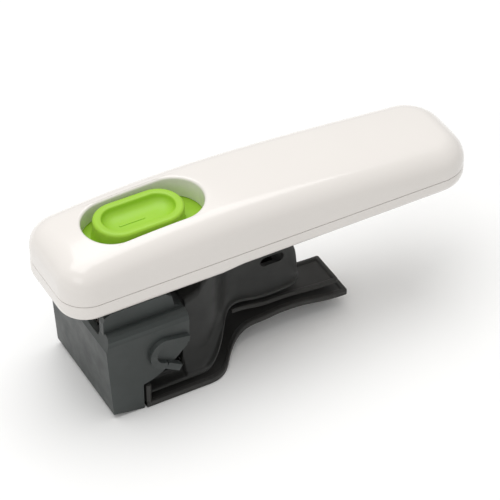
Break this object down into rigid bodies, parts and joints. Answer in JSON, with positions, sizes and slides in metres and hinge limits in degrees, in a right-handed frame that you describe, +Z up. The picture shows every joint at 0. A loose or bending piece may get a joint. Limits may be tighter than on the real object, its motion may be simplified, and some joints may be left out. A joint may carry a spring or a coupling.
{
  "type": "folding clip-on pan handle",
  "caption": "Folding clip-on pan handle: hollow two-shell grip with a sliding thumb button, pivoted on a bracket with hooks, an arm and two pan strips.",
  "frame": {"origin": "on the ground under the middle of the folded handle (centre of the bounding box's bottom face)", "axes": "+X from the button end to the tail, +Y across, +Z up, away from the pan wall"},
  "size_m": [0.195, 0.0586, 0.0841],
  "materials": {
    "white_gloss": "glossy",
    "lime_plastic": "satin",
    "dark_plastic": "satin",
    "strip_plastic": "matte",
    "inner_plastic": "matte",
    "steel": "brushed",
    "bush_brass": "satin"
  },
  "bodies": {
    "clip": {"pan_bracket": "dark_plastic", "pivot_pin": "steel", "catch_plate": "steel", "catch_screws": "steel", "arm": "dark_plastic", "arm_screws": "steel", "tray_strip": "strip_plastic", "tray_rivets": "steel", "base_strip": "strip_plastic", "base_screws": "steel"},
    "grip": {"upper_shell": "white_gloss", "lower_shell": "white_gloss", "slide_guide": "inner_plastic", "guide_screws": "steel", "stiffener": "steel", "stiffener_screws": "steel", "shell_screws": "steel", "pivot_bushes": "bush_brass", "slider_spring": "steel"},
    "slider": {"slider_button": "lime_plastic", "lock_bolt": "steel", "bolt_screw": "steel"}
  },
  "joints": [
    {"name": "handle_fold", "type": "hinge", "parent": "clip", "child": "grip", "pos_m": [-0.0665, 0, 0.036], "axis": [0, -1, 0], "range_deg": [0, 90]},
    {"name": "button_slide", "type": "slide", "parent": "grip", "child": "slider", "axis": [1, 0, 0], "range_m": [0, 0.007], "stiffness_N_per_m": 500, "springref_m": -0.003, "deforming": ["slider_spring"]}
  ]
}
